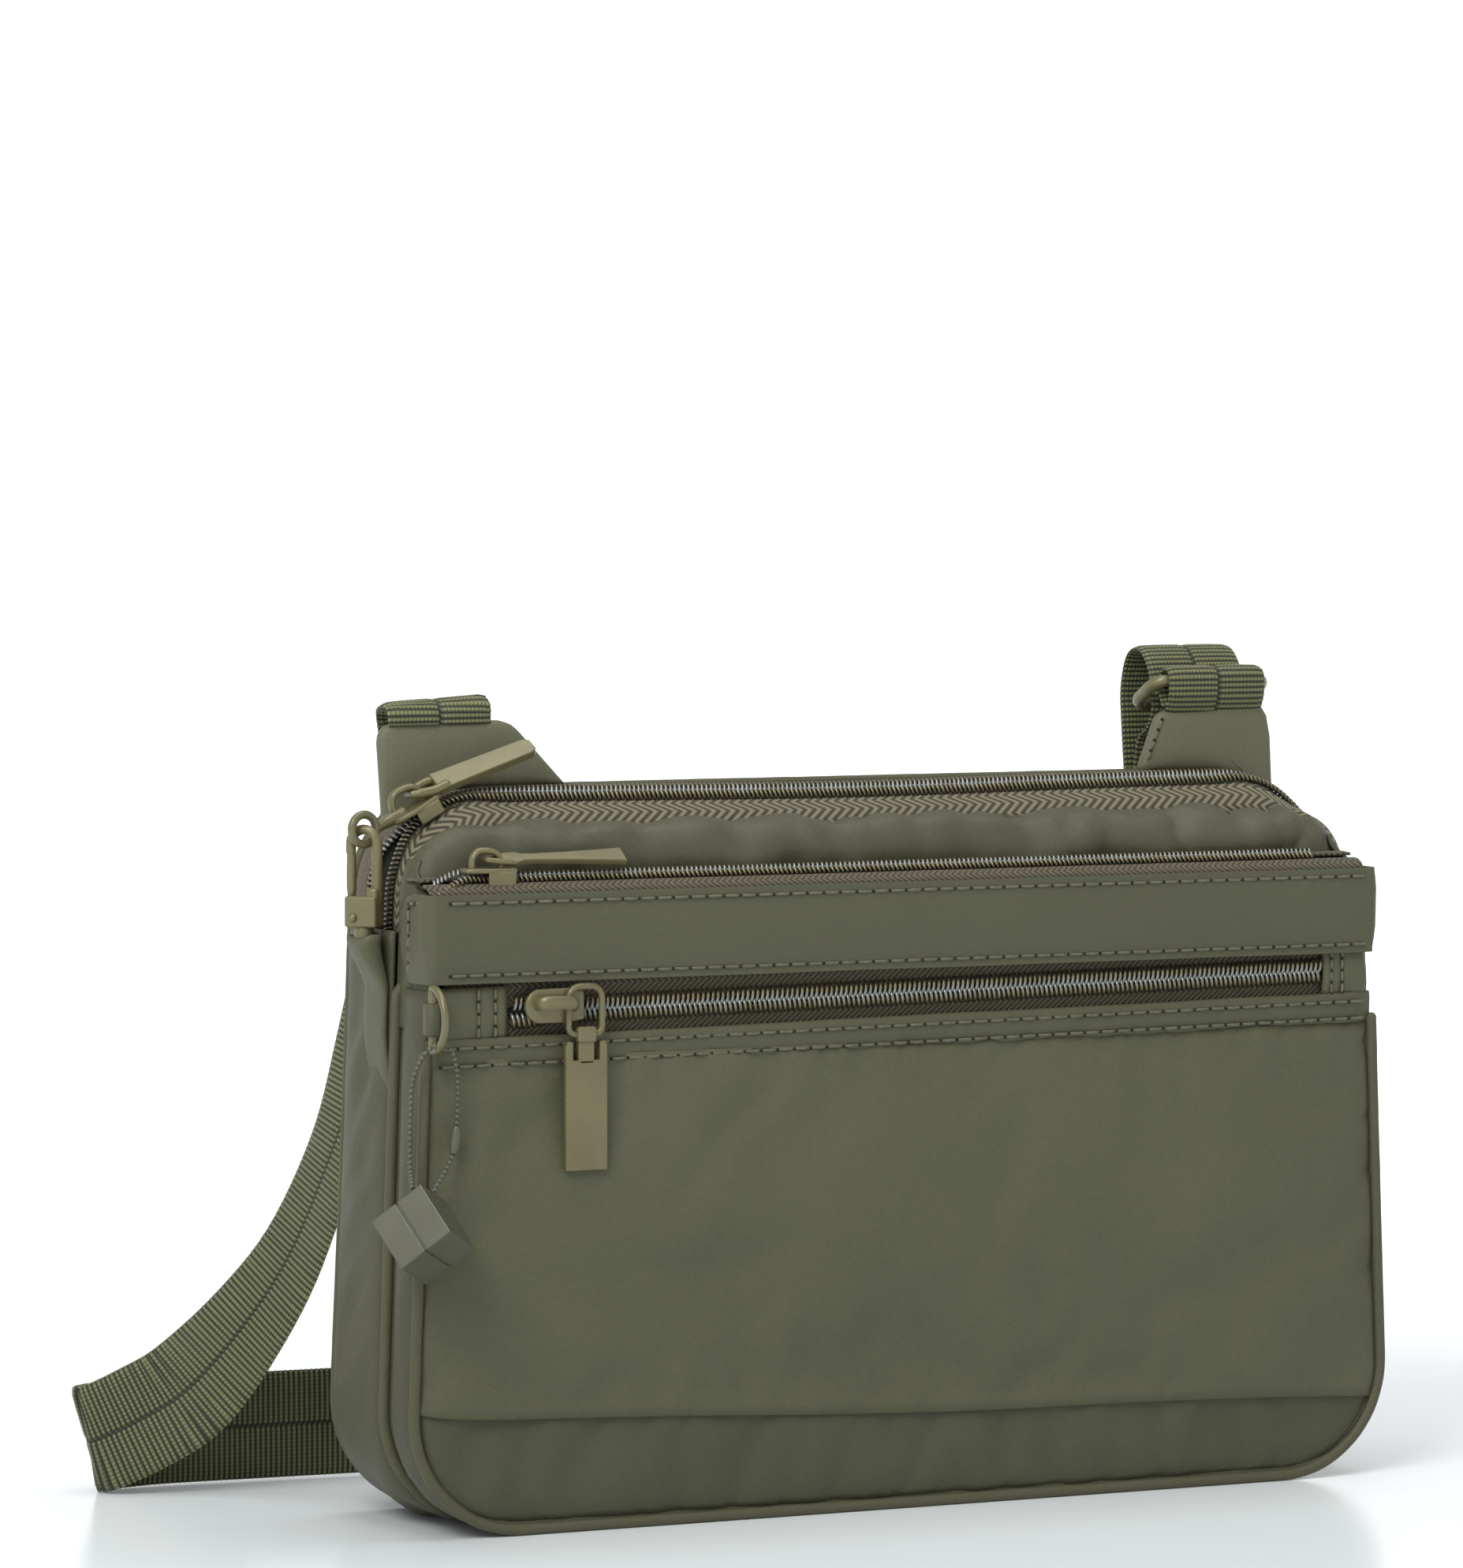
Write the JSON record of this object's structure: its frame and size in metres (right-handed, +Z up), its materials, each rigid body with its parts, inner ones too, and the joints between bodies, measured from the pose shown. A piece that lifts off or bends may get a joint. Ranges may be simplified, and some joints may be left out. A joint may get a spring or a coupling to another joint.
{
  "type": "crossbody purse",
  "caption": "Flat nylon crossbody purse with zipped compartments, a zipped front pocket, a snap hook that locks the main zip, a cube charm and an adjustable webbing strap.",
  "frame": {"origin": "on the floor under the middle of the bag, half way along its gusset", "axes": "+Z up, -Y out of the bag's front, +X to the right when the front is looked at"},
  "size_m": [0.2899, 0.125, 0.1923],
  "materials": {
    "nylon": "olive green nylon with a soft sheen",
    "piping": "olive green nylon bias tape",
    "lining": "thin lining cloth",
    "zip_tape": "herringbone tape",
    "zip_teeth": "metallised nylon coil",
    "webbing": "ribbed webbing",
    "lacquered_metal": "satin olive lacquer",
    "foam": "foam sheet"
  },
  "bodies": {
    "bag": {"back_panel": "nylon", "back_foam": "foam", "slip_pocket": "lining", "main_gusset": "nylon", "rear_piping": "piping", "middle_piping": "piping", "main_front_wall": "nylon", "upper_front_panel": "nylon", "front_gusset": "nylon", "front_piping": "piping", "pocket_backing": "lining", "front_band": "nylon", "front_lower_band": "nylon", "front_pocket_panel": "nylon", "front_bottom_panel": "nylon", "main_zip_teeth": "zip_teeth", "main_zip_front_tape": "zip_tape", "main_zip_rear_tape": "zip_tape", "front_zip_tape": "zip_tape", "front_zip_teeth": "zip_teeth", "pocket_zip_tape": "zip_tape", "pocket_zip_teeth": "zip_teeth", "pocket_zip_stop_left": "nylon", "pocket_zip_stop_right": "nylon", "hook_loop": "piping", "hook_stud": "lacquered_metal", "ring_sleeve": "piping", "left_strap_tab": "nylon", "right_strap_tab": "nylon", "shoulder_strap": "webbing", "strap_return": "webbing", "right_webbing_loop": "webbing"},
    "main_slider": {"main_slider": "lacquered_metal"},
    "main_pull": {"main_pull": "lacquered_metal"},
    "front_slider": {"front_slider": "lacquered_metal"},
    "front_pull": {"front_pull": "lacquered_metal"},
    "pocket_slider": {"pocket_slider": "lacquered_metal"},
    "pocket_link": {"pocket_link": "lacquered_metal"},
    "pocket_pull": {"pocket_pull": "lacquered_metal"},
    "snap_hook": {"snap_hook": "lacquered_metal"},
    "hook_gate": {"hook_gate": "lacquered_metal"},
    "d_ring": {"d_ring": "lacquered_metal"},
    "charm": {"charm_chain": "lacquered_metal", "charm_cube": "lacquered_metal"},
    "strap_ring": {"strap_ring": "lacquered_metal"},
    "strap_adjuster": {"strap_adjuster": "lacquered_metal"}
  },
  "joints": [
    {"name": "main_zip_travel", "type": "hinge", "parent": "bag", "child": "main_slider", "pos_m": [0.00061, 0.005, -0.05479], "axis": [0, 1, 0], "range_deg": [0, 53]},
    {"name": "main_pull_flip", "type": "hinge", "parent": "main_slider", "child": "main_pull", "pos_m": [-0.11145, 0.005, 0.16265], "axis": [0, 1, 0], "range_deg": [-125, 0]},
    {"name": "front_zip_slide", "type": "slide", "parent": "bag", "child": "front_slider", "axis": [1, 0, 0], "range_m": [0, 0.2]},
    {"name": "front_pull_flip", "type": "hinge", "parent": "front_slider", "child": "front_pull", "pos_m": [-0.1026, -0.017, 0.1491], "axis": [0, 1, 0], "range_deg": [-150, 0]},
    {"name": "pocket_zip_slide", "type": "slide", "parent": "bag", "child": "pocket_slider", "axis": [1, 0, 0], "range_m": [0, 0.18]},
    {"name": "pocket_link_swing", "type": "hinge", "parent": "pocket_slider", "child": "pocket_link", "pos_m": [-0.0864, -0.0252, 0.117], "axis": [0, 0, 1], "range_deg": [-50, 0]},
    {"name": "pocket_pull_lift", "type": "hinge", "parent": "pocket_link", "child": "pocket_pull", "pos_m": [-0.0824, -0.0252, 0.1106], "axis": [1, 0, 0], "range_deg": [-90, 0]},
    {"name": "snap_hook_turn", "type": "hinge", "parent": "bag", "child": "snap_hook", "pos_m": [-0.1244, 0.0004, 0.135], "axis": [0, 0, 1], "range_deg": [-15, 15]},
    {"name": "hook_gate_open", "type": "hinge", "parent": "snap_hook", "child": "hook_gate", "pos_m": [-0.12652, 0.00252, 0.1416], "axis": [0.7071, 0.7071, 0], "range_deg": [0, 16], "stiffness_Nm_per_rad": 0.004, "springref_deg": -11.46},
    {"name": "d_ring_turn", "type": "hinge", "parent": "bag", "child": "d_ring", "pos_m": [-0.1184, -0.0242, 0.115], "axis": [0, 0, 1], "range_deg": [-10, 6]},
    {"name": "charm_lift", "type": "hinge", "parent": "bag", "child": "charm", "pos_m": [-0.1175, -0.0276, 0.111], "axis": [1, 0, 0], "range_deg": [-70, 0]},
    {"name": "strap_ring_tip", "type": "hinge", "parent": "bag", "child": "strap_ring", "pos_m": [0.097, 0.016, 0.1846], "axis": [1, 0, 0], "range_deg": [-5, 8]},
    {"name": "adjuster_slide", "type": "slide", "parent": "bag", "child": "strap_adjuster", "axis": [0, 0, 1], "range_m": [0, 0.025], "deforming": ["strap_return"]}
  ]
}
